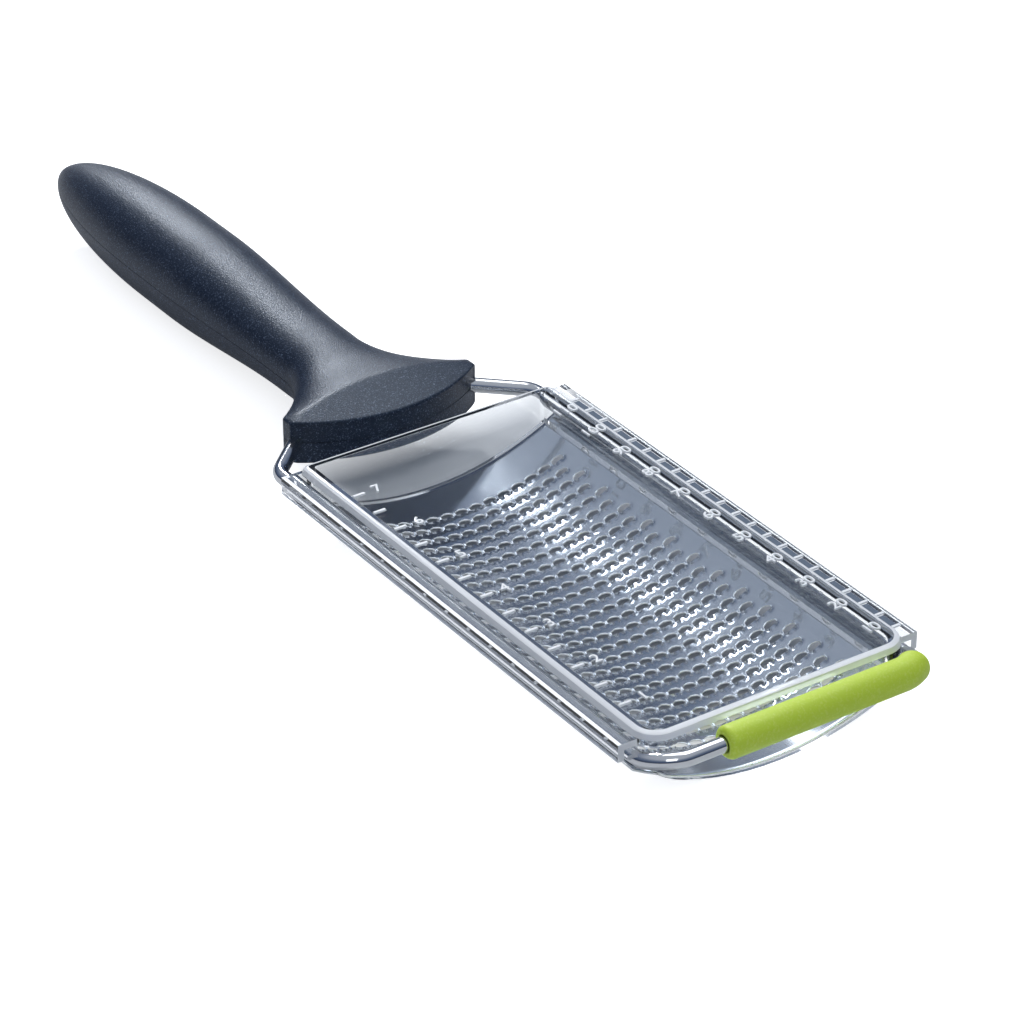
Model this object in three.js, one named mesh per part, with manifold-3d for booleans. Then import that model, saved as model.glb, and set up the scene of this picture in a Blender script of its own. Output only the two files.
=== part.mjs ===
import * as THREE from 'three';
import { mergeVertices } from 'three/addons/utils/BufferGeometryUtils.js';
import Module from 'manifold-3d';

const wasm = await Module();
wasm.setup();

// Wire frame: one bent wire with two rails, a crossbar and two tangs.
const wireDiameter = 3.6;
const frameWidth = 70;
const crossbarBend = 8;
const shoulderBend = 6;
const shoulderAngle = THREE.MathUtils.degToRad(47);
const shoulderGap = 7.6;
const wireEntry = 1.2;
const tangLength = 30;
const wireSides = 12;

// Soft sleeve on the crossbar.
const sleeveDiameter = 7.3;
const sleeveOffset = 19;
const sleeveBendAngle = THREE.MathUtils.degToRad(42);
const sleeveSides = 16;

// Grating plate: arched sheet, hung under the rails by its curled edges.
const sheetThickness = 0.5;
const archDepth = 12;
const hemAngle = THREE.MathUtils.degToRad(64);
const toothPitch = 3.9;
const rowPitch = 4.4;
const toothHeight = 0.8;
const holeBase = 2.9;
const holeCrown = 1.9;
const holeLength = 2.2;
const plateSideMargin = 8.7;
const plateEndMargin = 10.2;

// Clear catch tray that straddles the rails.
const trayLength = 134.6;
const trayWall = 1.6;
const trayFloorHeight = 5.6;
const trayFloorInset = 0.6;
const trayCorner = 6.2;
const trayHeelCorner = 1.5;
const trayEdgeRound = 1.6;
const skirtDrop = 0.4;
const skirtSetback = 4.1;

// Handle, moulded as two halves around the tangs.
const handleLength = 160.8;
const flareWidth = 51;
const flareBow = 8.5;
const flareHeight = 18.2;
const flareEdgeHeight = 10.5;
const flareDepth = 12;
const flareSpread = 0.17;
const facetRise = 0.3;
const neckWidth = 22.4;
const neckHeight = 17.2;
const neckRun = 22.9;
const gripWidth = 25.8;
const gripHeight = 24;
const gripStart = 39.8;
const gripFull = 91.8;
const gripEnd = 55.6;
const sectionPower = 2.2;
const tangWall = 2.9;

// Clearances.
const wireClearance = 0.3;
const hemClearance = 0.35;
const trayClearance = 0.4;
const plateEndGap = 0.4;
const trayToPlate = 0.35;
const trayToSleeve = 1.55;
const partingGap = 0.3;

const wireRadius = wireDiameter / 2;
const railX = frameWidth / 2;
const sleeveRadius = sleeveDiameter / 2;
const trayFront = sleeveRadius + trayToSleeve;
const trayHeel = trayFront + trayLength;
const skirtFront = trayFront + skirtSetback;
const crossbarRise = trayFloorHeight - sleeveRadius;
const shoulderY = trayHeel + shoulderGap;
const flareHalf = flareWidth / 2;
const neckHalf = neckWidth / 2;
const tangX = neckHalf - tangWall - wireRadius - wireClearance;
const flareTipY = shoulderY + (railX - flareHalf + wireEntry) / Math.tan(shoulderAngle);
const handleFront = flareTipY - flareBow;
const bowRadius = (flareHalf ** 2 + flareBow ** 2) / (2 * flareBow);
const tangStartY = shoulderY + (railX - tangX) / Math.tan(shoulderAngle);
const tangEndY = tangStartY + tangLength;

const hemRadius = wireRadius + hemClearance + sheetThickness / 2;
const archRadius = (railX ** 2 + archDepth ** 2 - hemRadius ** 2) / (2 * (archDepth - hemRadius));
const archCentreZ = archRadius - archDepth;
const archAngle = Math.atan2(railX, archCentreZ);
const plateStart = trayFront + trayWall + plateEndGap;
const plateEnd = trayHeel - trayWall - plateEndGap;

const steel = { color: 0xb9bec4, roughness: 0.28, metalness: 1 };
const materials = {
  handle: new THREE.MeshStandardMaterial({ color: 0x2d374b, roughness: 0.5, metalness: 0 }),
  wire: new THREE.MeshStandardMaterial({ ...steel, roughness: 0.12 }),
  plate: new THREE.MeshStandardMaterial(steel),
  sleeve: new THREE.MeshStandardMaterial({ color: 0xa5cd3c, roughness: 0.55, metalness: 0 }),
  tray: new THREE.MeshStandardMaterial({
    color: 0xf2f5f6,
    roughness: 0.08,
    metalness: 0,
    transparent: true,
    opacity: 0.3,
  }),
};

const ease = (t) => {
  const clamped = THREE.MathUtils.clamp(t, 0, 1);
  return clamped * clamped * (3 - 2 * clamped);
};

function positionsOnly(geometry) {
  const bare = new THREE.BufferGeometry();
  bare.setAttribute('position', geometry.getAttribute('position').clone());
  if (geometry.index) bare.setIndex(geometry.index.clone());
  return mergeVertices(bare, 1e-4);
}

function solidOf(geometry) {
  const bare = positionsOnly(geometry);
  return new wasm.Manifold(new wasm.Mesh({
    numProp: 3,
    vertProperties: Float32Array.from(bare.getAttribute('position').array),
    triVerts: Uint32Array.from(bare.index.array),
  }));
}

function geometryOf(solid) {
  const mesh = solid.getMesh();
  const geometry = new THREE.BufferGeometry();
  geometry.setAttribute('position', new THREE.BufferAttribute(mesh.vertProperties, 3));
  geometry.setIndex(new THREE.BufferAttribute(mesh.triVerts, 1));
  return geometry;
}

// A path through bend points, with a station at every point given.
class BentPath extends THREE.Curve {
  constructor(points) {
    super();
    this.points = points;
  }
  getPoint(t, target = new THREE.Vector3()) {
    const last = this.points.length - 1;
    const step = Math.min(Math.floor(t * last + 1e-6), last - 1);
    return target.lerpVectors(this.points[step], this.points[step + 1], t * last - step);
  }
  getPointAt(u, target) {
    return this.getPoint(u, target);
  }
  getTangent(t, target = new THREE.Vector3()) {
    const last = this.points.length - 1;
    const at = Math.round(t * last);
    const before = this.points[Math.max(at - 1, 0)];
    const here = this.points[at];
    const after = this.points[Math.min(at + 1, last)];
    const incoming = here.clone().sub(before).normalize();
    const outgoing = after.clone().sub(here).normalize();
    return target.copy(incoming).add(outgoing).normalize();
  }
  getTangentAt(u, target) {
    return this.getTangent(u, target);
  }
}

function circle(radius, sides) {
  const turn = (2 * Math.PI) / sides;
  return Array.from({ length: sides }, (_, k) => new THREE.Vector2(
    radius * Math.cos(k * turn), radius * Math.sin(k * turn)));
}

function tubeAlong(points, radius, sides, boreRadius = 0) {
  const shape = new THREE.Shape(circle(radius, sides));
  if (boreRadius > 0) shape.holes.push(new THREE.Path(circle(boreRadius, sides)));
  return new THREE.ExtrudeGeometry(shape, {
    steps: points.length - 1,
    extrudePath: new BentPath(points),
  });
}

// Points of an arc in the wire plane about a centre, from one heading to another.
function planArc(cx, cy, radius, from, to, steps) {
  return Array.from({ length: steps + 1 }, (_, k) => {
    const angle = from + ((to - from) * k) / steps;
    return new THREE.Vector3(cx + radius * Math.cos(angle), cy + radius * Math.sin(angle), 0);
  });
}

// The corners lift the crossbar, so that the sleeve lies level with the tray's floor.
function liftCorner(point) {
  return point.setZ(crossbarRise * ease((skirtFront - point.y) / skirtFront));
}

// Half of the frame, from the tang end to the crossbar, on the +X side.
function halfFrame(tangTip) {
  const half = shoulderAngle / 2;
  const run = shoulderBend * Math.tan(half);
  const outer = planArc(railX - shoulderBend, shoulderY - run, shoulderBend, shoulderAngle, 0, 4);
  const inner = planArc(tangX + shoulderBend, tangStartY + run, shoulderBend,
    Math.PI, Math.PI + shoulderAngle, 4);
  const corner = planArc(railX - crossbarBend, crossbarBend, crossbarBend, 0, -Math.PI / 2, 6)
    .map(liftCorner);
  const railTip = new THREE.Vector3(railX, skirtFront, 0);
  return [new THREE.Vector3(tangX, tangTip, 0), ...inner, ...outer, railTip, ...corner];
}

function framePath(tangTip) {
  const right = halfFrame(tangTip);
  const left = right.map((p) => new THREE.Vector3(-p.x, p.y, p.z)).reverse();
  return [...right, ...left];
}

function sleevePath() {
  const start = new THREE.Vector3(-sleeveOffset, 0, 0);
  const bend = planArc(railX - crossbarBend, crossbarBend, crossbarBend,
    -Math.PI / 2, -Math.PI / 2 + sleeveBendAngle, 4);
  return [start, ...bend].map(liftCorner);
}

// Mid-surface of the plate across its width: the arch, then the curl under the rail.
function platePoint(u, lift) {
  const side = Math.sign(u) || 1;
  const arcEnd = archRadius * archAngle;
  const reach = Math.abs(u);
  const inArch = reach <= arcEnd;
  const angle = inArch ? reach / archRadius : archAngle + (reach - arcEnd) / hemRadius;
  const radius = (inArch ? archRadius : hemRadius) + lift;
  const centreX = inArch ? 0 : railX;
  const centreZ = inArch ? archCentreZ : 0;
  return [side * (centreX + radius * Math.sin(angle)), centreZ - radius * Math.cos(angle)];
}

function buildPlate() {
  const arcEnd = archRadius * archAngle;
  const hemEnd = arcEnd + hemRadius * (hemAngle - archAngle);
  const columns = Math.floor((2 * (arcEnd - plateSideMargin)) / toothPitch);
  const rows = Math.floor((plateEnd - plateStart - 2 * plateEndMargin) / rowPitch);
  const fieldHalf = (columns * toothPitch) / 2;
  const fieldStart = (plateStart + plateEnd - rows * rowPitch) / 2;
  const halfPitch = toothPitch / 2;
  const faces = [];
  const flat = (u, v) => ({ u, v, lift: 0 });
  const quad = (u0, u1, v0, v1) => {
    faces.push([flat(u0, v0), flat(u1, v0), flat(u1, v1)]);
    faces.push([flat(u0, v0), flat(u1, v1), flat(u0, v1)]);
  };

  // One opening: a straight cutting edge raised out of the sheet and a rounded back.
  const tooth = (u, v) => {
    const rim = [flat(u - halfPitch, v), flat(u, v), flat(u + halfPitch, v),
      flat(u + halfPitch, v + rowPitch), flat(u, v + rowPitch), flat(u - halfPitch, v + rowPitch)];
    const low = v + (rowPitch - holeLength) / 2;
    const high = low + holeLength;
    const hole = [
      { u: u - holeBase / 2, v: low, lift: toothHeight },
      { u: u + holeBase / 2, v: low, lift: toothHeight },
      flat(u + holeCrown / 2, high),
      flat(u - holeCrown / 2, high),
    ];
    faces.push([rim[0], rim[1], hole[0]], [rim[1], hole[1], hole[0]], [rim[1], rim[2], hole[1]]);
    faces.push([rim[2], rim[3], hole[2]], [rim[2], hole[2], hole[1]]);
    faces.push([rim[3], rim[4], hole[2]], [rim[4], hole[3], hole[2]], [rim[4], rim[5], hole[3]]);
    faces.push([rim[5], rim[0], hole[0]], [rim[5], hole[0], hole[3]]);
  };

  for (let row = 0; row < rows; row += 1) {
    const v = fieldStart + row * rowPitch;
    const shifted = row % 2;
    for (let k = 0; k < columns - shifted; k += 1) {
      tooth(-fieldHalf + (k + 0.5 + shifted / 2) * toothPitch, v);
    }
    if (shifted) {
      quad(-fieldHalf, -fieldHalf + halfPitch, v, v + rowPitch);
      quad(fieldHalf - halfPitch, fieldHalf, v, v + rowPitch);
    }
  }
  const fieldEnd = fieldStart + rows * rowPitch;
  for (let k = 0; k < 2 * columns; k += 1) {
    const u = -fieldHalf + k * halfPitch;
    quad(u, u + halfPitch, plateStart, fieldStart);
    quad(u, u + halfPitch, fieldEnd, plateEnd);
  }

  // Blank borders: each fans from the tooth field, then runs on in long strips to the curled edge.
  const lines = [plateStart, plateEnd];
  for (let row = 0; row <= rows; row += 1) lines.splice(row + 1, 0, fieldStart + row * rowPitch);
  const border = (fieldHalf + arcEnd) / 2;
  const curlSteps = 4;
  for (const side of [-1, 1]) {
    const face = (a, b, c) => faces.push(side > 0 ? [a, b, c] : [a, c, b]);
    for (let k = 0; k + 1 < lines.length; k += 1) {
      face(flat(side * fieldHalf, lines[k]), flat(side * border, plateStart),
        flat(side * fieldHalf, lines[k + 1]));
    }
    face(flat(side * fieldHalf, plateEnd), flat(side * border, plateStart), flat(side * border, plateEnd));
    const stations = [border, arcEnd];
    for (let k = 1; k <= curlSteps; k += 1) stations.push(arcEnd + ((hemEnd - arcEnd) * k) / curlSteps);
    for (let k = 0; k + 1 < stations.length; k += 1) {
      quad(...[side * stations[k], side * stations[k + 1]].sort((a, b) => a - b), plateStart, plateEnd);
    }
  }
  return sheetFrom(faces);
}

// Gives a pattern of flat faces its thickness: both skins, and a wall along every free edge.
function sheetFrom(faces) {
  const key = (p) => `${p.u.toFixed(3)} ${p.v.toFixed(3)}`;
  const free = new Map();
  const triangles = [];
  const skin = (p, side) => {
    const [x, z] = platePoint(p.u, p.lift + (side * sheetThickness) / 2);
    return [x, p.v, z];
  };
  for (const face of faces) {
    triangles.push(face.map((p) => skin(p, -1)));
    triangles.push([face[0], face[2], face[1]].map((p) => skin(p, 1)));
    face.forEach((p, k) => {
      const next = face[(k + 1) % 3];
      const back = `${key(next)} ${key(p)}`;
      if (free.has(back)) free.delete(back);
      else free.set(`${key(p)} ${key(next)}`, [p, next]);
    });
  }
  for (const [a, b] of free.values()) {
    triangles.push([skin(a, -1), skin(a, 1), skin(b, 1)]);
    triangles.push([skin(a, -1), skin(b, 1), skin(b, -1)]);
  }
  const geometry = new THREE.BufferGeometry();
  geometry.setAttribute('position', new THREE.Float32BufferAttribute(triangles.flat(2), 3));
  return geometry;
}

function prismUp(shape, bottom, top) {
  return new THREE.ExtrudeGeometry(shape, { depth: top - bottom, bevelEnabled: false, curveSegments: 5 })
    .translate(0, 0, bottom);
}

// A profile drawn in X and Z, run along Y.
function prismAlong(shape, start, end) {
  return new THREE.ExtrudeGeometry(shape, { depth: end - start, bevelEnabled: false, curveSegments: 4 })
    .rotateX(Math.PI / 2)
    .translate(0, end, 0);
}

function trayOutline(half, front, heel, frontRadius, heelRadius) {
  const shape = new THREE.Shape();
  shape.moveTo(half, front + frontRadius);
  shape.lineTo(half, heel - heelRadius);
  shape.absarc(half - heelRadius, heel - heelRadius, heelRadius, 0, Math.PI / 2);
  shape.lineTo(-half + heelRadius, heel);
  shape.absarc(-half + heelRadius, heel - heelRadius, heelRadius, Math.PI / 2, Math.PI);
  shape.lineTo(-half, front + frontRadius);
  shape.absarc(-half + frontRadius, front + frontRadius, frontRadius, Math.PI, 1.5 * Math.PI);
  shape.lineTo(half - frontRadius, front);
  shape.absarc(half - frontRadius, front + frontRadius, frontRadius, 1.5 * Math.PI, 2 * Math.PI);
  return shape;
}

// Everything above the arch of the given radius.
function aboveArch(radius, half, top) {
  const shape = new THREE.Shape();
  const reach = Math.asin(half / radius);
  const steps = 20;
  for (let k = 0; k <= steps; k += 1) {
    const angle = -reach + (2 * reach * k) / steps;
    const x = radius * Math.sin(angle);
    const z = archCentreZ - radius * Math.cos(angle);
    if (k === 0) shape.moveTo(x, z);
    else shape.lineTo(x, z);
  }
  shape.lineTo(half, top);
  shape.lineTo(-half, top);
  return shape;
}

// Flange over the rail on one side, and the skirt that hangs from it outside.
function railSkirt(side, inner, under, top, skirtInner, outer) {
  const shape = new THREE.Shape();
  shape.moveTo(side * inner, under);
  shape.lineTo(side * skirtInner, under);
  shape.lineTo(side * skirtInner, -skirtDrop);
  shape.lineTo(side * outer, -skirtDrop);
  shape.lineTo(side * outer, top);
  shape.lineTo(side * inner, top);
  return solidOf(prismAlong(shape, skirtFront, trayHeel));
}

// Floor panel with its upper edge rounded all the way round.
function floorPanel(half, under) {
  const edge = trayEdgeRound;
  const outline = trayOutline(half - edge, trayFront + edge, trayHeel - edge, trayCorner - edge,
    trayHeelCorner / 2);
  const panel = new THREE.ExtrudeGeometry(outline, {
    depth: trayFloorHeight - edge,
    bevelEnabled: true,
    bevelSize: edge,
    bevelThickness: edge,
    bevelSegments: 2,
    curveSegments: 5,
  });
  const reach = half + trayLength;
  const room = new THREE.BoxGeometry(2 * reach, 2 * reach, trayFloorHeight)
    .translate(0, trayHeel / 2, under + trayFloorHeight / 2);
  return solidOf(panel).intersect(solidOf(room));
}

function buildTray() {
  const flangeUnder = wireRadius + trayClearance;
  const flangeTop = flangeUnder + trayWall;
  const wallHalf = railX - wireRadius - trayClearance;
  const skirtInner = railX + wireRadius + trayClearance;
  const flangeHalf = skirtInner + trayWall;
  const floorHalf = railX - trayFloorInset;
  const floorUnder = trayFloorHeight - trayWall;
  const innerHalf = wallHalf - trayWall;

  const wallRadius = crossbarBend - wireRadius;
  const hollow = trayOutline(innerHalf, trayFront + trayWall, trayHeel - trayWall,
    wallRadius - trayWall, trayHeelCorner / 2);
  const lid = floorPanel(floorHalf, flangeUnder)
    .add(railSkirt(1, wallHalf, flangeUnder, flangeTop, skirtInner, flangeHalf))
    .add(railSkirt(-1, wallHalf, flangeUnder, flangeTop, skirtInner, flangeHalf))
    .subtract(solidOf(prismUp(hollow, -archDepth, floorUnder)));

  const wallTop = (floorUnder + trayFloorHeight) / 2;
  const outer = trayOutline(wallHalf, trayFront, trayHeel, wallRadius, trayHeelCorner);
  outer.holes.push(hollow);
  const ring = solidOf(prismUp(outer, -2 * archDepth, wallTop - trayEdgeRound));
  const reach = flangeHalf + 1;
  const overPlate = archRadius - sheetThickness / 2 - trayToPlate;
  const sides = solidOf(prismAlong(aboveArch(overPlate, reach, wallTop + 1), trayFront - 1, trayHeel + 1));
  const ends = [[trayFront - 1, plateStart - plateEndGap], [plateEnd + plateEndGap, trayHeel + 1]];
  const room = ends.reduce((all, [start, end]) => all.add(
    solidOf(prismAlong(aboveArch(archRadius, reach, wallTop + 1), start, end))), sides);
  return geometryOf(lid.add(ring.intersect(room)));
}

// Half-width and half-height of the handle at a distance from its front. The flare's oval
// section is wider than the flare by the spread, and its ends are cut off blunt.
function handleSection(s) {
  const toNeck = THREE.MathUtils.clamp((s - flareDepth) / neckRun, 0, 1);
  const flare = (1 - toNeck) ** 1.8;
  const dip = 1 - ease(s / gripStart);
  const swell = ease((s - gripStart) / (gripFull - gripStart));
  const past = THREE.MathUtils.clamp((s - handleLength + gripEnd) / gripEnd, 0, 1);
  const cap = Math.sqrt(1 - past * past);
  const half = neckHalf + (flareHalf - neckHalf) * flare + (gripWidth / 2 - neckHalf) * swell;
  const height = neckHeight + (flareHeight - neckHeight) * dip + (gripHeight - neckHeight) * swell;
  return { half: half * cap, rise: (height / 2) * cap, spread: 1 + flareSpread * flare };
}

function handleStations() {
  const stations = [-2, flareDepth];
  const neckSteps = 6;
  for (let k = 1; k <= neckSteps; k += 1) stations.push(flareDepth + (neckRun * k) / neckSteps);
  const gripSteps = 5;
  const capStart = handleLength - gripEnd;
  const neckEnd = flareDepth + neckRun;
  for (let k = 1; k <= gripSteps; k += 1) stations.push(neckEnd + ((capStart - neckEnd) * k) / gripSteps);
  const capSteps = 7;
  for (let k = 1; k < capSteps; k += 1) {
    stations.push(capStart + gripEnd * Math.sin((k * Math.PI) / 2 / capSteps));
  }
  return stations;
}

function handleLoft() {
  const sides = 26;
  const stations = handleStations();
  const rings = stations.map((s) => {
    const { half, rise, spread } = handleSection(s);
    const bend = (value) => Math.sign(value) * Math.abs(value) ** (2 / sectionPower);
    return Array.from({ length: sides }, (_, k) => {
      const angle = (2 * Math.PI * k) / sides;
      const across = Math.abs(Math.cos(angle)) < 1e-9 ? 0 : bend(Math.cos(angle));
      const up = k % (sides / 2) === 0 ? 0 : bend(Math.sin(angle));
      const x = THREE.MathUtils.clamp(half * spread * across, -half, half);
      return [x, handleFront + s, rise * up];
    });
  });
  const triangles = [];
  const frontCentre = [0, handleFront + stations[0], 0];
  const tip = [0, handleFront + handleLength, 0];
  for (let k = 0; k < sides; k += 1) {
    const next = (k + 1) % sides;
    triangles.push([frontCentre, rings[0][k], rings[0][next]]);
    triangles.push([tip, rings.at(-1)[next], rings.at(-1)[k]]);
    for (let r = 0; r + 1 < rings.length; r += 1) {
      triangles.push([rings[r][k], rings[r + 1][k], rings[r + 1][next]]);
      triangles.push([rings[r][k], rings[r + 1][next], rings[r][next]]);
    }
  }
  const geometry = new THREE.BufferGeometry();
  geometry.setAttribute('position', new THREE.Float32BufferAttribute(triangles.flat(2), 3));
  return mergeVertices(geometry, 1e-4);
}

// Bowed front of the flare with a sloped crescent facet above and below, open towards the grip.
function flareBound() {
  const edge = flareEdgeHeight / 2;
  const crown = facetRise * bowRadius;
  const sides = 60;
  const axisY = handleFront + bowRadius;
  const drum = new THREE.CylinderGeometry(bowRadius, bowRadius, 2 * edge, sides)
    .rotateX(Math.PI / 2)
    .translate(0, axisY, 0);
  const above = new THREE.ConeGeometry(bowRadius, crown, sides)
    .rotateX(Math.PI / 2)
    .translate(0, axisY, edge + crown / 2);
  const below = above.clone().rotateY(Math.PI);
  const openFrom = handleFront + flareDepth + neckRun / 3;
  const openTo = handleFront + handleLength + 1;
  const open = new THREE.BoxGeometry(flareWidth + 1, openTo - openFrom, 2 * gripHeight)
    .translate(0, (openFrom + openTo) / 2, 0);
  return solidOf(drum).add(solidOf(above)).add(solidOf(below)).add(solidOf(open));
}

function buildShells() {
  const channel = tubeAlong(framePath(tangEndY + wireClearance), wireRadius + wireClearance, wireSides);
  const body = solidOf(handleLoft())
    .intersect(flareBound())
    .subtract(solidOf(channel));
  const span = 2 * (handleLength + flareWidth);
  const halfSpace = (sign) => new THREE.BoxGeometry(span, span, gripHeight)
    .translate(0, handleFront + handleLength / 2, sign * (gripHeight / 2 + partingGap / 2));
  return [1, -1].map((sign) => geometryOf(body.intersect(solidOf(halfSpace(sign)))));
}

const [upperShell, lowerShell] = buildShells();
const pieces = [
  ['handle_upper_shell', upperShell, materials.handle],
  ['handle_lower_shell', lowerShell, materials.handle],
  ['wire_frame', tubeAlong(framePath(tangEndY), wireRadius, wireSides), materials.wire],
  ['grating_plate', buildPlate(), materials.plate],
  ['end_sleeve', tubeAlong(sleevePath(), sleeveRadius, sleeveSides, wireRadius + wireClearance),
    materials.sleeve],
  ['catch_tray', buildTray(), materials.tray],
];

const grater = new THREE.Group();
for (const [name, geometry, material] of pieces) {
  const mesh = new THREE.Mesh(positionsOnly(geometry), material);
  mesh.geometry.computeVertexNormals();
  mesh.name = name;
  grater.add(mesh);
}

// The origin lies under the middle of the whole grater, on the surface it rests on.
const box = new THREE.Box3().setFromObject(grater);
grater.position.set(-(box.min.x + box.max.x) / 2, -(box.min.y + box.max.y) / 2, -box.min.z);
grater.updateMatrixWorld(true);

export default grater;
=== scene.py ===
import math

import bmesh
import bpy
from mathutils import Matrix, Vector


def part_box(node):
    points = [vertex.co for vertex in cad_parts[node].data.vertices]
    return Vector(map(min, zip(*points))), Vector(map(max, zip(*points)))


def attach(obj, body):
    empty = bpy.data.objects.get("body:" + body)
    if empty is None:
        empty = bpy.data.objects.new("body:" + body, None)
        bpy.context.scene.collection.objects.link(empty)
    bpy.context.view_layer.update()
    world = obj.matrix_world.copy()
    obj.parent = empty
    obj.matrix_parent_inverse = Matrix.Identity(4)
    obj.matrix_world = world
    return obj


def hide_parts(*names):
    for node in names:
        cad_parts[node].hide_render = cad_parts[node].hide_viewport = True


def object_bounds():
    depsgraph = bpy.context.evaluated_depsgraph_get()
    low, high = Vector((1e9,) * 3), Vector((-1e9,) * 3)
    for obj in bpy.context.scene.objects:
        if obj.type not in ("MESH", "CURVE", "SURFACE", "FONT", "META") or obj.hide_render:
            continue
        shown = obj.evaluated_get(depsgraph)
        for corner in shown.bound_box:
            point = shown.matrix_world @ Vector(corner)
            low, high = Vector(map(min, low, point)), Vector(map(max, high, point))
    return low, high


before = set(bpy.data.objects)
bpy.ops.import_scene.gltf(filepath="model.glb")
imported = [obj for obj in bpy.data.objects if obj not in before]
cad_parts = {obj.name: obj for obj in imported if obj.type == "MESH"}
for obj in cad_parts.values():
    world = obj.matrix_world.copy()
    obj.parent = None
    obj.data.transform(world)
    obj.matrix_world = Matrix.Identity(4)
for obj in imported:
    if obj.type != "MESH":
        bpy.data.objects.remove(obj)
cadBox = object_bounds()

mm = 0.001
wire = {
    "radius": 1.8,
    "crossbarBend": 8.0,
    "shoulderBend": 6.0,
    "shoulderGap": 7.6,
    "shoulderAngle": math.radians(47),
    "tangX": 6.2,
    "skirtSetback": 4.1,
    "sides": 32,
    "bendSteps": 14,
}
wireLow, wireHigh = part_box("wire_frame")
crossbarY = wireLow[1] + wire["radius"] * mm
planeZ = wireLow[2] + wire["radius"] * mm
railX = wireHigh[0] / mm - wire["radius"]


def spot(x, y, z=0.0):  # millimetres from the middle of the crossbar, at the height of the wire
    return Vector((x * mm, crossbarY + y * mm, planeZ + z * mm))


def along(value):  # a frame length in Y, as millimetres from the crossbar
    return (value - crossbarY) / mm


def above(value):  # a frame height, as millimetres from the wire
    return (value - planeZ) / mm


crossbarRise = above(wireHigh[2]) - wire["radius"]
trayLow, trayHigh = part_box("catch_tray")
skirtFront = along(trayLow[1]) + wire["skirtSetback"]


def ease(t):
    t = min(max(t, 0.0), 1.0)
    return t * t * (3 - 2 * t)


def addRing(bm, points):
    made = bmesh.ops.create_circle(bm, cap_ends=False, segments=len(points), radius=1.0)
    for vert, point in zip(made["verts"], points):
        vert.co = point
    return list({edge for vert in made["verts"] for edge in vert.link_edges}), made["verts"]


def loftRings(bm, rings):
    loops = [addRing(bm, ring) for ring in rings]
    for (near, nearVerts), (far, farVerts) in zip(loops, loops[1:]):
        bmesh.ops.bridge_loops(bm, edges=near + far)
    return [verts for edges, verts in loops]


def finishMesh(bm, name, material, body, nodes=(), sharp=35):
    bmesh.ops.remove_doubles(bm, verts=bm.verts, dist=1e-7)
    bmesh.ops.recalc_face_normals(bm, faces=bm.faces)
    mesh = bpy.data.meshes.new(name)
    bm.to_mesh(mesh)
    bm.free()
    mesh.shade_smooth()
    mesh.set_sharp_from_angle(angle=math.radians(sharp))
    mesh.materials.append(material)
    piece = bpy.data.objects.new(name, mesh)
    bpy.context.scene.collection.objects.link(piece)
    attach(piece, body)
    if nodes:
        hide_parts(*nodes)
    print("made", name, len(mesh.polygons), "faces")
    return piece


# shared shader groups

def newGroup(name, inputs, outputs):
    group = bpy.data.node_groups.new(name, "ShaderNodeTree")
    for label, kind, value in inputs:
        socket = group.interface.new_socket(label, in_out="INPUT", socket_type=kind)
        socket.default_value = value
    for label, kind in outputs:
        group.interface.new_socket(label, in_out="OUTPUT", socket_type=kind)
    nodes = group.nodes
    return group, nodes, group.links, nodes.new("NodeGroupInput"), nodes.new("NodeGroupOutput")


def makeGrainGroup():  # fine moulded grain: a height and a speckle mask
    group, nodes, links, given, out = newGroup("fineGrain", [
        ("Scale", "NodeSocketFloat", 3000.0),
        ("Speckle", "NodeSocketFloat", 0.6),
    ], [("Height", "NodeSocketFloat"), ("Mask", "NodeSocketFloat")])
    coords = nodes.new("ShaderNodeTexCoord")
    noise = nodes.new("ShaderNodeTexNoise")
    noise.inputs["Detail"].default_value = 2.0
    noise.inputs["Roughness"].default_value = 0.6
    ramp = nodes.new("ShaderNodeMapRange")
    ramp.inputs["To Min"].default_value = 0.0
    ramp.inputs["To Max"].default_value = 1.0
    ramp.inputs["From Max"].default_value = 0.7
    links.new(coords.outputs["Object"], noise.inputs["Vector"])
    links.new(given.outputs["Scale"], noise.inputs["Scale"])
    links.new(noise.outputs["Fac"], ramp.inputs["Value"])
    links.new(given.outputs["Speckle"], ramp.inputs["From Min"])
    links.new(noise.outputs["Fac"], out.inputs["Height"])
    links.new(ramp.outputs["Result"], out.inputs["Mask"])
    return group


def makeSmudgeGroup():  # broad uneven wear, for roughness
    group, nodes, links, given, out = newGroup("handlingSmudge", [
        ("Scale", "NodeSocketFloat", 60.0),
        ("Low", "NodeSocketFloat", 0.3),
        ("High", "NodeSocketFloat", 0.5),
    ], [("Value", "NodeSocketFloat")])
    coords = nodes.new("ShaderNodeTexCoord")
    noise = nodes.new("ShaderNodeTexNoise")
    noise.inputs["Detail"].default_value = 3.0
    ramp = nodes.new("ShaderNodeMapRange")
    ramp.inputs["From Min"].default_value = 0.3
    ramp.inputs["From Max"].default_value = 0.7
    links.new(coords.outputs["Object"], noise.inputs["Vector"])
    links.new(given.outputs["Scale"], noise.inputs["Scale"])
    links.new(noise.outputs["Fac"], ramp.inputs["Value"])
    links.new(given.outputs["Low"], ramp.inputs["To Min"])
    links.new(given.outputs["High"], ramp.inputs["To Max"])
    links.new(ramp.outputs["Result"], out.inputs["Value"])
    return group


grainGroup = makeGrainGroup()
smudgeGroup = makeSmudgeGroup()


def newMaterial(name):
    material = bpy.data.materials.new(name)
    material.use_nodes = True
    nodes = material.node_tree.nodes
    return material, nodes, material.node_tree.links, nodes["Principled BSDF"]


def useGroup(nodes, group, **values):
    node = nodes.new("ShaderNodeGroup")
    node.node_tree = group
    for label, value in values.items():
        node.inputs[label].default_value = value
    return node


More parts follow.
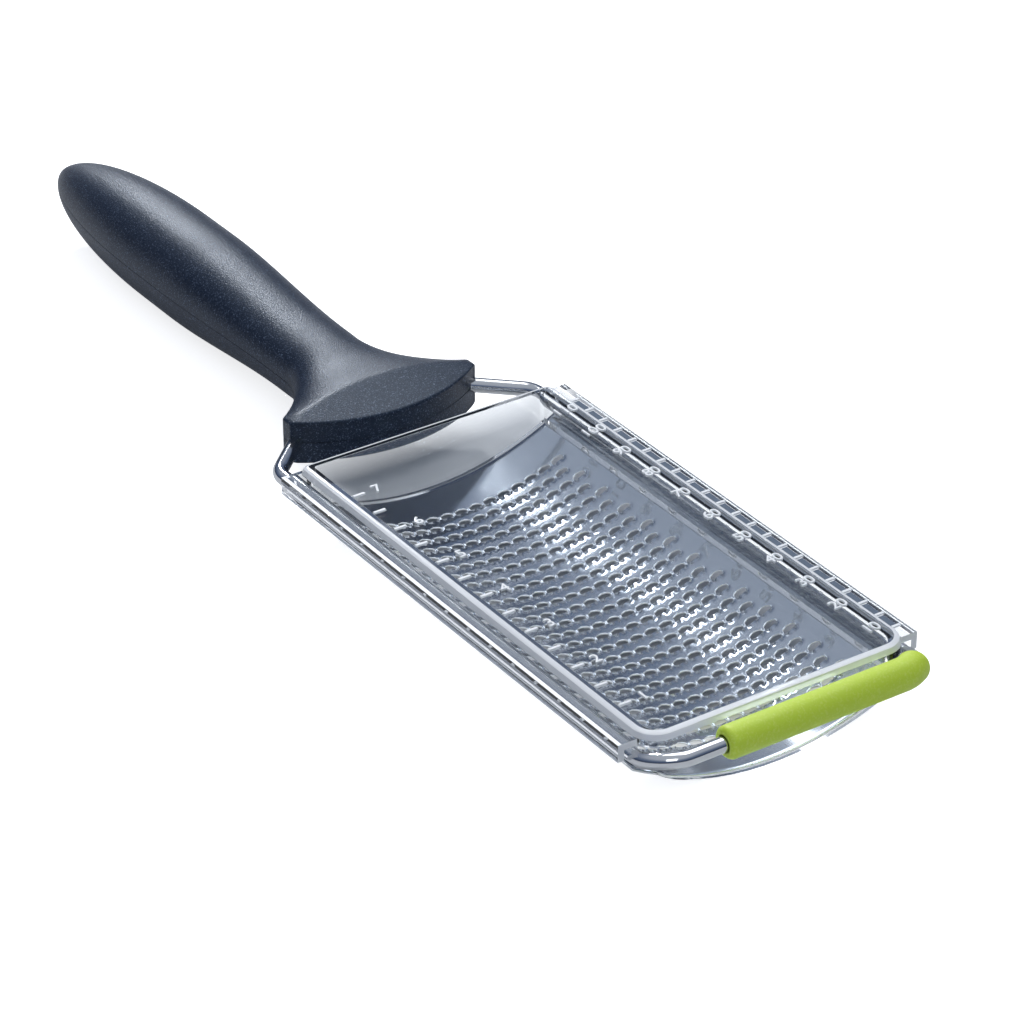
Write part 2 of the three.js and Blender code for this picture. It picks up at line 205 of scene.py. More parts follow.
def addBump(nodes, links, shader, height, strength, distance):
    bump = nodes.new("ShaderNodeBump")
    bump.inputs["Strength"].default_value = strength
    bump.inputs["Distance"].default_value = distance
    links.new(height, bump.inputs["Height"])
    links.new(bump.outputs["Normal"], shader.inputs["Normal"])


def blendColours(nodes, links, mask, first, second):
    mix = nodes.new("ShaderNodeMix")
    mix.data_type = "RGBA"
    mix.inputs["A"].default_value = (*first, 1)
    mix.inputs["B"].default_value = (*second, 1)
    links.new(mask, mix.inputs["Factor"])
    return mix.outputs["Result"]


def makeHandlePlastic():
    material, nodes, links, shader = newMaterial("navyGrainPlastic")
    grain = useGroup(nodes, grainGroup, Scale=3000.0, Speckle=0.56)
    smudge = useGroup(nodes, smudgeGroup, Scale=45.0, Low=0.34, High=0.42)
    colour = blendColours(nodes, links, grain.outputs["Mask"], (0.003, 0.008, 0.022), (0.12, 0.155, 0.225))
    links.new(colour, shader.inputs["Base Color"])
    links.new(smudge.outputs["Value"], shader.inputs["Roughness"])
    addBump(nodes, links, shader, grain.outputs["Height"], 0.5, 0.0002)
    shader.inputs["Specular IOR Level"].default_value = 0.5
    shader.inputs["Specular Tint"].default_value = (0.68, 0.82, 1.0, 1)
    return material


def makeWireSteel():
    material, nodes, links, shader = newMaterial("polishedWireSteel")
    smudge = useGroup(nodes, smudgeGroup, Scale=220.0, Low=0.08, High=0.16)
    shader.inputs["Base Color"].default_value = (0.66, 0.67, 0.69, 1)
    shader.inputs["Metallic"].default_value = 1.0
    links.new(smudge.outputs["Value"], shader.inputs["Roughness"])
    return material


def makePlateSteel():
    material, nodes, links, shader = newMaterial("rolledPlateSteel")
    coords = nodes.new("ShaderNodeTexCoord")
    stretch = nodes.new("ShaderNodeMapping")
    stretch.inputs["Scale"].default_value = (1.0, 0.04, 1.0)  # drawn out along the plate
    lines = nodes.new("ShaderNodeTexNoise")
    lines.inputs["Scale"].default_value = 2400.0
    lines.inputs["Detail"].default_value = 2.0
    links.new(coords.outputs["Object"], stretch.inputs["Vector"])
    links.new(stretch.outputs["Vector"], lines.inputs["Vector"])
    smudge = useGroup(nodes, smudgeGroup, Scale=70.0, Low=0.06, High=0.11)
    links.new(smudge.outputs["Value"], shader.inputs["Roughness"])
    colour = blendColours(nodes, links, lines.outputs["Fac"], (0.54, 0.59, 0.66), (0.66, 0.7, 0.76))
    links.new(colour, shader.inputs["Base Color"])
    shader.inputs["Metallic"].default_value = 1.0
    addBump(nodes, links, shader, lines.outputs["Fac"], 0.05, 0.0001)
    return material


def makeCutEdgeHighlightSteel():  # painted highlight: the punched edges get a near-white, mostly non-metal base so they show as bright arcs
    material, nodes, links, shader = newMaterial("cutEdgePaintedHighlight")
    shader.inputs["Base Color"].default_value = (0.95, 0.96, 0.97, 1)
    shader.inputs["Metallic"].default_value = 0.2
    shader.inputs["Roughness"].default_value = 0.45
    return material


def makeSleeveSilicone():
    material, nodes, links, shader = newMaterial("limeSilicone")
    grain = useGroup(nodes, grainGroup, Scale=1800.0, Speckle=0.5)
    smudge = useGroup(nodes, smudgeGroup, Scale=90.0, Low=0.42, High=0.56)
    colour = blendColours(nodes, links, grain.outputs["Mask"], (0.56, 0.74, 0.05), (0.63, 0.79, 0.1))
    links.new(colour, shader.inputs["Base Color"])
    links.new(smudge.outputs["Value"], shader.inputs["Roughness"])
    addBump(nodes, links, shader, grain.outputs["Height"], 0.12, 0.0001)
    shader.inputs["Subsurface Weight"].default_value = 0.12
    shader.inputs["Subsurface Radius"].default_value = (0.6, 1.0, 0.2)
    shader.inputs["Subsurface Scale"].default_value = 0.001
    return material


def makeClearPlastic(name, tint, low, high):
    material, nodes, links, shader = newMaterial(name)
    smudge = useGroup(nodes, smudgeGroup, Scale=55.0, Low=low, High=high)
    links.new(smudge.outputs["Value"], shader.inputs["Roughness"])
    shader.inputs["Base Color"].default_value = (*tint, 1)
    shader.inputs["Transmission Weight"].default_value = 1.0
    shader.inputs["IOR"].default_value = 1.46
    light = nodes.new("ShaderNodeLightPath")
    through = nodes.new("ShaderNodeBsdfTransparent")
    through.inputs["Color"].default_value = (0.9, 0.92, 0.93, 1)
    mix = nodes.new("ShaderNodeMixShader")
    output = nodes["Material Output"]
    links.new(light.outputs["Is Shadow Ray"], mix.inputs["Fac"])
    links.new(shader.outputs["BSDF"], mix.inputs[1])
    links.new(through.outputs["BSDF"], mix.inputs[2])
    links.new(mix.outputs["Shader"], output.inputs["Surface"])
    return material


def makeHighlightPlastic(name, roughness, clear):  # near-white plastic, a painted highlight on the clear raised marks and rounded edges
    material, nodes, links, shader = newMaterial(name)
    shader.inputs["Base Color"].default_value = (0.93, 0.95, 0.97, 1)
    shader.inputs["Roughness"].default_value = roughness
    shader.inputs["Transmission Weight"].default_value = clear
    shader.inputs["IOR"].default_value = 1.46
    return material


def makeHollowShadePlastic():  # painted shade: the hollows of the rail's scale are coloured dark blue-grey for the dark frame below
    material, nodes, links, shader = newMaterial("paintedShadeHollowPlastic")
    shader.inputs["Base Color"].default_value = (0.16, 0.2, 0.26, 1)
    shader.inputs["Roughness"].default_value = 0.12
    shader.inputs["Transmission Weight"].default_value = 0.3
    shader.inputs["IOR"].default_value = 1.46
    return material


handlePlastic = makeHandlePlastic()
wireSteel = makeWireSteel()
plateSteel = makePlateSteel()
cutEdgeHighlightSteel = makeCutEdgeHighlightSteel()
sleeveSilicone = makeSleeveSilicone()
trayPlastic = makeClearPlastic("clearTrayPlastic", (0.97, 0.98, 0.985), 0.015, 0.04)
markHighlightPlastic = makeHighlightPlastic("paintedHighlightMarkPlastic", 0.3, 0.1)
edgeHighlightPlastic = makeHighlightPlastic("paintedHighlightEdgePlastic", 0.12, 0.2)
hollowShadePlastic = makeHollowShadePlastic()
print("materials ready")


# wire frame: rails, raised crossbar and the two tangs in the handle

def arcPoints(cx, cy, radius, start, end, steps):
    turns = [start + (end - start) * k / steps for k in range(steps + 1)]
    return [(cx + radius * math.cos(t), cy + radius * math.sin(t)) for t in turns]


def liftCorner(x, y):  # the corners raise the crossbar level with the tray's floor
    return Vector((x, y, crossbarRise * ease((skirtFront - y) / skirtFront)))


def wireRoute():
    angle = wire["shoulderAngle"]
    bend = wire["shoulderBend"]
    run = bend * math.tan(angle / 2)
    shoulderY = along(trayHigh[1]) + wire["shoulderGap"]
    tangStart = shoulderY + (railX - wire["tangX"]) / math.tan(angle)
    steps = wire["bendSteps"]
    corner = wire["crossbarBend"]
    half = [(wire["tangX"], along(wireHigh[1]))]
    half += arcPoints(wire["tangX"] + bend, tangStart + run, bend, math.pi, math.pi + angle, steps)
    half += arcPoints(railX - bend, shoulderY - run, bend, angle, 0, steps)
    half.append((railX, skirtFront))
    half += arcPoints(railX - corner, corner, corner, 0, -math.pi / 2, steps)
    return [liftCorner(x, y) for x, y in half + [(-x, y) for x, y in reversed(half)]]


def ringsAlong(route, radii, sides):
    rings = []
    for index, (here, radius) in enumerate(zip(route, radii)):
        before = route[max(index - 1, 0)]
        after = route[min(index + 1, len(route) - 1)]
        heading = Vector()
        for step in (here - before, after - here):
            if step.length > 1e-9:
                heading += step.normalized()
        heading.normalize()
        across = heading.cross(Vector((0, 0, 1))).normalized()
        upward = across.cross(heading)
        turns = [2 * math.pi * k / sides for k in range(sides)]
        spokes = [math.cos(t) * across + math.sin(t) * upward for t in turns]
        rings.append([spot(*(here + radius * spoke)) for spoke in spokes])
    return rings


def buildWireFrame():
    route = wireRoute()
    bm = bmesh.new()
    loops = loftRings(bm, ringsAlong(route, [wire["radius"]] * len(route), wire["sides"]))
    bmesh.ops.contextual_create(bm, geom=loops[0])
    bmesh.ops.contextual_create(bm, geom=loops[-1])
    return finishMesh(bm, "wireFrame", wireSteel, "grater", ["wire_frame"])


buildWireFrame()


# soft sleeve on the crossbar

sleeveLow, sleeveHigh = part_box("end_sleeve")
sleeve = {
    "startX": sleeveLow[0] / mm,
    "radius": (crossbarY - sleeveLow[1]) / mm,
    "bendAngle": math.radians(42),
    "bore": 2.05,
    "endRound": 1.45,
    "endSteps": 8,
    "bodySteps": 40,
    "sides": 40,
}


def sleevePoint(s):  # centreline at a distance from the sleeve's free end
    corner = wire["crossbarBend"]
    straight = railX - corner - sleeve["startX"]
    if s <= straight:
        return liftCorner(sleeve["startX"] + s, 0.0)
    turn = (s - straight) / corner
    return liftCorner(railX - corner + corner * math.sin(turn), corner - corner * math.cos(turn))


def buildEndSleeve():
    total = railX - wire["crossbarBend"] - sleeve["startX"] + wire["crossbarBend"] * sleeve["bendAngle"]
    soft = sleeve["endRound"]
    turns = [math.pi / 2 * k / sleeve["endSteps"] for k in range(sleeve["endSteps"] + 1)]
    start = [(soft * (1 - math.cos(t)), sleeve["radius"] - soft * (1 - math.sin(t))) for t in turns]
    body = [(soft + (total - 2 * soft) * k / sleeve["bodySteps"], sleeve["radius"])
            for k in range(1, sleeve["bodySteps"])]
    outside = start + body + [(total - s, radius) for s, radius in reversed(start)]
    inside = [(total * k / sleeve["bodySteps"], sleeve["bore"]) for k in range(sleeve["bodySteps"] + 1)]
    bm = bmesh.new()
    skins = []
    for profile in (outside, inside):
        route = [sleevePoint(s) for s, radius in profile]
        skins.append(loftRings(bm, ringsAlong(route, [radius for s, radius in profile], sleeve["sides"])))
    for end in (0, -1):
        rims = [edge for skin in skins for vert in skin[end]
                for edge in vert.link_edges if edge.is_boundary]
        bmesh.ops.bridge_loops(bm, edges=list(set(rims)))
    return finishMesh(bm, "endSleeve", sleeveSilicone, "grater", ["end_sleeve"], sharp=60)


buildEndSleeve()


# handle: two moulded halves

shellLow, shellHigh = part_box("handle_upper_shell")
handle = {
    "front": along(shellLow[1]),
    "length": (shellHigh[1] - shellLow[1]) / mm,
    "flareHalf": shellHigh[0] / mm,
    "flareBow": 8.5,
    "flareHeight": 18.2,
    "flareEdge": 5.25,
    "flareDepth": 12.0,
    "flareSpread": 0.155,
    "facetRise": 0.3,
    "facetReach": 20.0,
    "neckHalf": 11.2,
    "neckHeight": 17.2,
    "neckRun": 22.9,
    "neckPower": 1.8,
    "waistAt": 23.0,
    "waistDepth": 1.8,
    "waistWidth": 9.0,
    "gripHalf": 12.9,
    "gripHeight": 2 * above(shellHigh[2]),
    "gripStart": 39.8,
    "gripFull": 91.8,
    "gripEnd": 55.6,
    "power": 2.2,
    "seam": 0.02,
    "seamTuck": 0.04,
    "edgeRound": 0.6,
    "ridgeSoft": 0.3,
    "bowFade": 30.0,
    "arcSteps": 84,
}
bowRadius = (handle["flareHalf"] ** 2 + handle["flareBow"] ** 2) / (2 * handle["flareBow"])


def handleSection(s):  # half-width, half-height, and how much wider the uncut oval is
    toNeck = min(max((s - handle["flareDepth"]) / handle["neckRun"], 0), 1)
    flare = (1 - toNeck) ** handle["neckPower"]
    dip = 1 - ease(s / handle["gripStart"])
    swell = ease((s - handle["gripStart"]) / (handle["gripFull"] - handle["gripStart"]))
    past = min(max((s - handle["length"] + handle["gripEnd"]) / handle["gripEnd"], 0), 1)
    cap = math.sqrt(max(1 - past * past, 0))
    half = handle["neckHalf"] + (handle["flareHalf"] - handle["neckHalf"]) * flare
    half += (handle["gripHalf"] - handle["neckHalf"]) * swell
    height = handle["neckHeight"] + (handle["flareHeight"] - handle["neckHeight"]) * dip
    height += (handle["gripHeight"] - handle["neckHeight"]) * swell
    height -= handle["waistDepth"] * math.exp(-((s - handle["waistAt"]) / handle["waistWidth"]) ** 2)
    return half * cap, height / 2 * cap, 1 + handle["flareSpread"] * flare


def bowAt(x):
    return bowRadius - math.sqrt(max(bowRadius ** 2 - x * x, 0))


def softMin(a, b, soft):
    blend = max(soft - abs(a - b), 0) / soft
    return min(a, b) - blend * blend * soft / 4


def facetHeight(x, y):  # a cone about the axis of the bowed front
    return handle["flareEdge"] + handle["facetRise"] * (bowRadius - math.hypot(x, bowRadius - y))


def shellRing(s, inset, sign):
    power, steps = handle["power"], handle["arcSteps"]
    bowed = 1 - ease(s / handle["bowFade"])
    edge = handle["flareHalf"]
    for attempt in range(6):
        edge, rise, spread = handleSection(s + bowAt(edge) * bowed)
    outer = []
    for k in range(steps + 1):
        angle = math.pi * k / steps
        cosine, sine = math.cos(angle), max(math.sin(angle), 0)
        across = math.copysign(abs(cosine) ** (2 / power), cosine)
        x = min(max(edge * spread * across, -edge), edge)
        y = s + bowAt(x) * bowed
        half, rise, wider = handleSection(y)
        share = min(abs(x) / max(half * wider, 1e-6), 1)
        z = min(rise * sine ** (2 / power), rise * (1 - share ** power) ** (1 / power))
        if y < handle["facetReach"]:
            z = softMin(z, facetHeight(x, y), handle["ridgeSoft"])
        tuck = inset + (handle["seamTuck"] if k in (0, steps) else 0)
        x -= math.copysign(min(tuck, abs(x)), x)
        outer.append((x, y, max(z - inset, handle["seam"])))
    inner = [(x, y, handle["seam"]) for x, y, z in reversed(outer[1:-1])]
    return [spot(x, handle["front"] + y, sign * z) for x, y, z in outer + inner]


def shellStations():  # distance from the front, and how far the rounded front edge is drawn in
    soft = handle["edgeRound"]
    turns = [math.pi / 2 * k / 5 for k in range(6)]
    stations = [(soft * (1 - math.cos(t)), soft * (1 - math.sin(t))) for t in turns]
    flareEnd = handle["flareDepth"] + handle["neckRun"]
    capStart = handle["length"] - handle["gripEnd"]
    flareSteps, gripSteps, capSteps = 76, 30, 40
    stations += [(soft + (flareEnd - soft) * k / flareSteps, 0) for k in range(1, flareSteps + 1)]
    stations += [(flareEnd + (capStart - flareEnd) * k / gripSteps, 0) for k in range(1, gripSteps + 1)]
    stations += [(capStart + handle["gripEnd"] * math.sin(math.pi / 2 * k / capSteps), 0)
                 for k in range(1, capSteps + 1)]
    return stations


def buildShell(name, sign, node):
    bm = bmesh.new()
    loops = loftRings(bm, [shellRing(s, inset, sign) for s, inset in shellStations()])
    front = loops[0]
    steps = handle["arcSteps"]
    top = front[:steps + 1]
    low = [front[0]] + list(reversed(front[steps + 1:])) + [front[steps]]
    for k in range(steps):  # ruled front face between the edge above and the parting edge
        corners = []
        for vert in (top[k], top[k + 1], low[k + 1], low[k]):
            if vert not in corners:
                corners.append(vert)
        bm.faces.new(corners)
    bmesh.ops.contextual_create(bm, geom=loops[-1])
    return finishMesh(bm, name, handlePlastic, "grater", [node], sharp=40)


buildShell("handleUpperShell", 1, "handle_upper_shell")
buildShell("handleLowerShell", -1, "handle_lower_shell")


# grating plate: arched sheet with raised, rounded teeth

plateLow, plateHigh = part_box("grating_plate")
plate = {
    "start": along(plateLow[1]),
    "end": along(plateHigh[1]),
    "thickness": 0.36,
    "archDepth": 12.0,
    "hemGap": 0.35,
    "hemAngle": math.radians(64),
    "pitch": 3.9,
    "rowPitch": 4.4,
    "toothHeight": 0.78,
    "holeHalf": 1.6,
    "holeCrown": 1.2,
    "holeBase": 0.5,
    "baseSquare": 4.0,
    "lipSteps": ((1.3, 0.12), (1.12, 0.6), (1.0, 1.0)),
    "lipPower": 0.6,
    "sideMargin": 8.7,
    "endMargin": 10.2,
    "split": 6,
}
hemRadius = wire["radius"] + plate["hemGap"] + plate["thickness"] / 2
archChord = railX ** 2 + plate["archDepth"] ** 2 - hemRadius ** 2
archRadius = archChord / (2 * (plate["archDepth"] - hemRadius))
archCentre = archRadius - plate["archDepth"]
archAngle = math.atan2(railX, archCentre)
archReach = archRadius * archAngle


def bendSheet(u, v, lift):
    side = -1 if u < 0 else 1
    reach = abs(u)
    if reach <= archReach:
        angle = reach / archRadius
        radius = archRadius + lift
        return spot(side * radius * math.sin(angle), v, archCentre - radius * math.cos(angle))
    angle = archAngle + (reach - archReach) / hemRadius
    radius = hemRadius + lift
    return spot(side * (railX + radius * math.sin(angle)), v, -radius * math.cos(angle))


def openingPoint(angle, grow):
    x = plate["holeHalf"] * math.cos(angle)
    if math.sin(angle) >= 0:
        return x * grow, plate["holeCrown"] * math.sin(angle) * grow
    square = 2 / plate["baseSquare"]
    x = plate["holeHalf"] * math.copysign(abs(math.cos(angle)) ** square, math.cos(angle))
    return x * grow, -plate["holeBase"] * abs(math.sin(angle)) ** square * grow


def toothCell():  # one flat cell with its opening; Z holds how far the sheet is raised
    bm = bmesh.new()
    split = plate["split"]
    bmesh.ops.create_grid(bm, x_segments=split, y_segments=split, size=0.5)
    bmesh.ops.scale(bm, vec=(plate["pitch"], plate["rowPitch"], 1), verts=bm.verts)
    inner = (split / 2 - 1) / split
    middle = [face for face in bm.faces
              if abs(face.calc_center_median().x) < inner * plate["pitch"]
              and abs(face.calc_center_median().y) < inner * plate["rowPitch"]]
    bmesh.ops.delete(bm, geom=middle, context="FACES")
    rim = [edge for edge in bm.edges if edge.is_boundary
           and max(abs(v.co.x) / plate["pitch"] for v in edge.verts) < inner + 0.01
           and max(abs(v.co.y) / plate["rowPitch"] for v in edge.verts) < inner + 0.01]
    for step, (grow, share) in enumerate(plate["lipSteps"]):
        if step:
            grown = bmesh.ops.extrude_edge_only(bm, edges=rim)
            rim = [item for item in grown["geom"]
                   if isinstance(item, bmesh.types.BMEdge) and item.is_boundary]
        for vert in {v for edge in rim for v in edge.verts}:
            angle = math.atan2(vert.co.y / plate["rowPitch"], vert.co.x / plate["pitch"])
            vert.co.x, vert.co.y = openingPoint(angle, grow)
            vert.co.z = plate["toothHeight"] * share * max(-math.sin(angle), 0) ** plate["lipPower"]
    mesh = bpy.data.meshes.new("toothCell")
    bm.to_mesh(mesh)
    bm.free()
    return mesh


def addPatch(bm, u0, u1, v0, v1, across, down):
    made = bmesh.ops.create_grid(bm, x_segments=across, y_segments=down, size=0.5)
    for vert in made["verts"]:
        vert.co.x = u0 + (u1 - u0) * (vert.co.x + 0.5)
        vert.co.y = v0 + (v1 - v0) * (vert.co.y + 0.5)


def buildGratingPlate():
    pitch, rowPitch, split = plate["pitch"], plate["rowPitch"], plate["split"]
    columns = int(2 * (archReach - plate["sideMargin"]) / pitch)
    rows = int((plate["end"] - plate["start"] - 2 * plate["endMargin"]) / rowPitch)
    fieldHalf = columns * pitch / 2
    fieldStart = (plate["start"] + plate["end"] - rows * rowPitch) / 2
    fieldEnd = fieldStart + rows * rowPitch
    hemEnd = archReach + hemRadius * (plate["hemAngle"] - archAngle)
    cell = toothCell()
    bm = bmesh.new()
    for row in range(rows):
        v = fieldStart + row * rowPitch
        shifted = row % 2
        for k in range(columns - shifted):
            before = len(bm.verts)
            bm.from_mesh(cell)
            bm.verts.ensure_lookup_table()
            centre = Vector((-fieldHalf + (k + 0.5 + shifted / 2) * pitch, v + rowPitch / 2, 0))
            bmesh.ops.translate(bm, vec=centre, verts=bm.verts[before:])
        if shifted:
            for u in (-fieldHalf, fieldHalf - pitch / 2):
                addPatch(bm, u, u + pitch / 2, v, v + rowPitch, split // 2, split)
    for v0, v1 in ((plate["start"], fieldStart), (fieldEnd, plate["end"])):
        addPatch(bm, -fieldHalf, fieldHalf, v0, v1, columns * split, 8)
    for side in (-1, 1):
        for near, far, across in ((fieldHalf, archReach, 12), (archReach, hemEnd, 8)):
            u0, u1 = sorted((side * near, side * far))
            addPatch(bm, u0, u1, fieldStart, fieldEnd, across, rows * split)
            addPatch(bm, u0, u1, plate["start"], fieldStart, across, 8)
            addPatch(bm, u0, u1, fieldEnd, plate["end"], across, 8)
    bmesh.ops.remove_doubles(bm, verts=bm.verts, dist=0.01)
    for vert in bm.verts:
        vert.co = bendSheet(vert.co.x, vert.co.y, vert.co.z)
    bpy.data.meshes.remove(cell)
    piece = finishMesh(bm, "gratingPlate", plateSteel, "grater", ["grating_plate"], sharp=50)
    wall = piece.modifiers.new("sheet", "SOLIDIFY")
    wall.thickness = plate["thickness"] * mm
    wall.offset = 0.0
    # painted highlight: the sheet's cut rims take the near-white cut-edge material
    piece.data.materials.append(cutEdgeHighlightSteel)
    wall.material_offset_rim = 1
    return piece


buildGratingPlate()


# clear catch tray and its measuring marks

tray = {
    "floorTop": above(trayHigh[2]),
    "flangeTop": 3.8,
    "edgeRound": 0.35,
    "rimDepth": 1.7,
    "tenMl": 11.3,
    "tenMlY": 13.3,
    "railTickX": (35.0, 37.4),
    "hollowX": (35.2, 36.9),
    "hollowGap": 0.15,
    "hollowHeight": 0.05,
    "numberX": 29.5,
    "spoonNumberX": -25.5,
    "spoonTickX": (-31.8, -28.6),
    "tickWidth": 0.9,
    "tickTrim": 0.12,
    "markHeight": 0.3,
    "markSink": 0.1,
    "digitBevel": 0.05,
    "digitSize": 4.2,
}


def buildCatchTray():
    bm = bmesh.new()
    bm.from_mesh(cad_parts["catch_tray"].data)
    bmesh.ops.remove_doubles(bm, verts=bm.verts, dist=1e-6)
    bmesh.ops.dissolve_limit(bm, angle_limit=math.radians(1), verts=bm.verts, edges=bm.edges)
    corners = [edge for edge in bm.edges
               if len(edge.link_faces) == 2 and edge.calc_face_angle(0) > math.radians(40)]
    bmesh.ops.bevel(bm, geom=corners, affect="EDGES", offset=tray["edgeRound"] * mm, segments=3,
                    profile=0.5, material=-1, clamp_overlap=True)
    rimEdge = spot(0, 0, tray["floorTop"] - tray["rimDepth"])
    bmesh.ops.bisect_plane(bm, geom=bm.verts[:] + bm.edges[:] + bm.faces[:], plane_co=rimEdge,
                           plane_no=(0, 0, 1), dist=1e-7)
    skirtEnd = spot(0, skirtFront + tray["edgeRound"]).y
    for face in bm.faces:  # painted highlight: rounded edges, the cut ends of the skirts and sloped faces get the near-white edge plastic
        centre = face.calc_center_median()
        rim = centre.z > rimEdge.z and abs(face.normal.z) < 0.98
        cut = face.normal.y < -0.9 and abs(centre.y - skirtEnd) < tray["edgeRound"] * mm
        line = abs(face.normal.x) > 0.3 and face.normal.z > 0.3
        if rim or cut or line:
            face.material_index = 1
    piece = finishMesh(bm, "catchTray", trayPlastic, "tray", ["catch_tray"], sharp=60)
    piece.data.materials.append(edgeHighlightPlastic)
    level = piece.modifiers.new("flatPanels", "WEIGHTED_NORMAL")  # keeps the broad faces optically flat
    level.keep_sharp = True
    level.weight = 100
    return piece


def addBar(bm, x0, x1, y, width, base, height):
    made = bmesh.ops.create_cube(bm, size=1.0)
    for vert in made["verts"]:
        top = vert.co.z > 0
        trim = tray["tickTrim"] if top else 0.0
        x = (x0 + x1) / 2 + math.copysign((x1 - x0) / 2 - trim, vert.co.x)
        lengthwise = y + math.copysign(width / 2 - trim, vert.co.y)
        vert.co = spot(x, lengthwise, base + (height if top else -tray["markSink"]))


def addNumber(bm, words, x, y, base):
    curve = bpy.data.curves.new("digits", "FONT")
    curve.body = words
    curve.size = tray["digitSize"] * mm
    curve.align_x = "CENTER"
    curve.align_y = "CENTER"
    curve.extrude = (tray["markHeight"] + tray["markSink"]) / 2 * mm
    curve.bevel_depth = tray["digitBevel"] * mm
    holder = bpy.data.objects.new("digits", curve)
    bpy.context.scene.collection.objects.link(holder)
    mesh = bpy.data.meshes.new_from_object(holder.evaluated_get(bpy.context.evaluated_depsgraph_get()))
    mesh.transform(Matrix.Translation(spot(x, y, base + tray["markHeight"] / 2)))
    bm.from_mesh(mesh)
    bpy.data.objects.remove(holder)
    bpy.data.curves.remove(curve)
    bpy.data.meshes.remove(mesh)


def railSteps():  # one place every 5 ml on the rail
    return [tray["tenMlY"] + (step - 2) * tray["tenMl"] / 2 for step in range(2, 24)]


# painted shade: thin dark bars fill the hollows of the rail's scale
def buildHollows():
    bm = bmesh.new()
    length = tray["tenMl"] / 2 - tray["tickWidth"] - 2 * tray["hollowGap"]
    for y in railSteps()[:-1]:
        addBar(bm, *tray["hollowX"], y + tray["tenMl"] / 4, length, tray["flangeTop"], tray["hollowHeight"])
    return finishMesh(bm, "scaleHollows", hollowShadePlastic, "tray")


def buildMarks():
    bm = bmesh.new()
    for y in railSteps():
        addBar(bm, *tray["railTickX"], y, tray["tickWidth"], tray["flangeTop"], tray["markHeight"])
    for ten in range(1, 12):
        y = tray["tenMlY"] + (ten - 1) * tray["tenMl"]
        addNumber(bm, str(10 * ten), tray["numberX"], y, tray["floorTop"])
    spoon = 0.75 * tray["tenMl"]
    for half in range(2, 15):  # one mark every half spoon
        y = tray["tenMlY"] - tray["tenMl"] + half * spoon
        addBar(bm, *tray["spoonTickX"], y, tray["tickWidth"], tray["floorTop"], tray["markHeight"])
        if half % 2 == 0:
            addNumber(bm, str(half // 2), tray["spoonNumberX"], y, tray["floorTop"])
    # painted highlight: the raised ticks and numbers take the near-white mark plastic
    return finishMesh(bm, "measuringMarks", markHighlightPlastic, "tray")


buildCatchTray()
buildMarks()
buildHollows()


# camera, floor and light

view = {
    "azimuth": math.radians(-34.14),
    "elevation": math.radians(30.65),
    "distance": 1002.5,
    "target": (30.74, 150.0, -33.33),
    "sensor": 36,
    "lens": 4200 * 36 / 1024,
    "floorSize": 6.0,
    "floorDrop": 0.0002,
    "floorReach": 0.012,
    "floorGlow": 0.78,
    "heelReach": 0.028,
    "floorBounce": 0.45,
    "floorMirrored": 0.06,
    "floorThrough": 0.66,
    "sky": (
        (0.05, (0.03, 0.045, 0.085)),
        (0.45, (0.14, 0.18, 0.27)),
        (0.7, (0.42, 0.46, 0.53)),
        (1.0, (0.5, 0.54, 0.6)),
    ),
}


def makeCamera():
    azimuth, elevation = view["azimuth"], view["elevation"]
    back = Vector((math.sin(azimuth) * math.cos(elevation), -math.cos(azimuth) * math.cos(elevation),
                   math.sin(elevation)))
    camera = bpy.data.cameras.new("camera")
    camera.lens = view["lens"]
    camera.sensor_width = view["sensor"]
    camera.clip_end = 20
    holder = bpy.data.objects.new("camera", camera)
    bpy.context.scene.collection.objects.link(holder)
    holder.location = spot(*view["target"]) + back * view["distance"] * mm
    holder.rotation_euler = back.to_track_quat("Z", "Y").to_euler()
    bpy.context.scene.camera = holder


def underPlateShadowMask(nodes, links, reach):  # painted shadow mask: 0 on the floor seen through the plate or the heel, where the floor is painted dark, else 1
    coords = nodes.new("ShaderNodeTexCoord")
    parts = nodes.new("ShaderNodeSeparateXYZ")
    links.new(coords.outputs["Object"], parts.inputs["Vector"])
    nearest = nodes.new("ShaderNodeMath")
    nearest.operation = "MAXIMUM"
    shift = view["floorReach"]
    spans = ((plateLow[0] + shift, plateHigh[0] + shift), (plateLow[1] + shift, plateHigh[1] + reach))
    for index, (axis, (low, high)) in enumerate(zip("XY", spans)):
        offset = nodes.new("ShaderNodeMath")
        offset.operation = "SUBTRACT"
        offset.inputs[1].default_value = (low + high) / 2
        size = nodes.new("ShaderNodeMath")
        size.operation = "ABSOLUTE"
        fade = nodes.new("ShaderNodeMapRange")
        fade.inputs["From Min"].default_value = (high - low) / 2 - shift
        fade.inputs["From Max"].default_value = (high - low) / 2
        links.new(parts.outputs[axis], offset.inputs[0])
        links.new(offset.outputs["Value"], size.inputs[0])
        links.new(size.outputs["Value"], fade.inputs["Value"])
        links.new(fade.outputs["Result"], nearest.inputs[index])
    return nearest.outputs["Value"]


